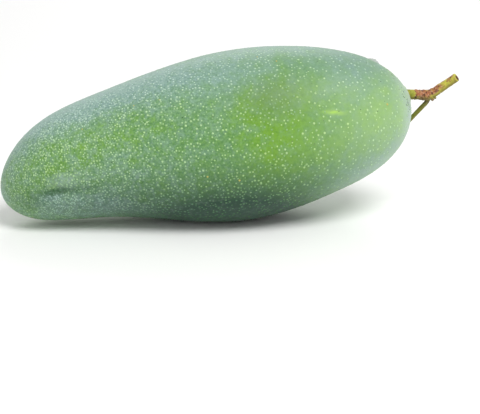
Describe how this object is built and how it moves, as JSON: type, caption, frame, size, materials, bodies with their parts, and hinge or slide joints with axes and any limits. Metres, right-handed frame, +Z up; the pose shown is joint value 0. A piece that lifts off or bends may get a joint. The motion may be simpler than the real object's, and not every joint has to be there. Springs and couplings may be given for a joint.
{
  "type": "mango",
  "caption": "Long green mango with a waxy dotted skin and its cut, forked stalk, lying on its side on a small flat spot.",
  "frame": {"origin": "on the resting surface, under the middle of the bounding box of fruit and stalk", "axes": "+X along the fruit from its tip towards the stalk, +Y away from the dimpled side, +Z up"},
  "size_m": [0.1862, 0.0652, 0.0707],
  "materials": {
    "fruit_skin": "satin waxy green skin with a pale blue-grey bloom and fine pale dots",
    "stalk_bark": "matt green bark with corky red-brown patches"
  },
  "bodies": {
    "root": {"fruit": "fruit_skin", "stalk": "stalk_bark"}
  },
  "joints": []
}
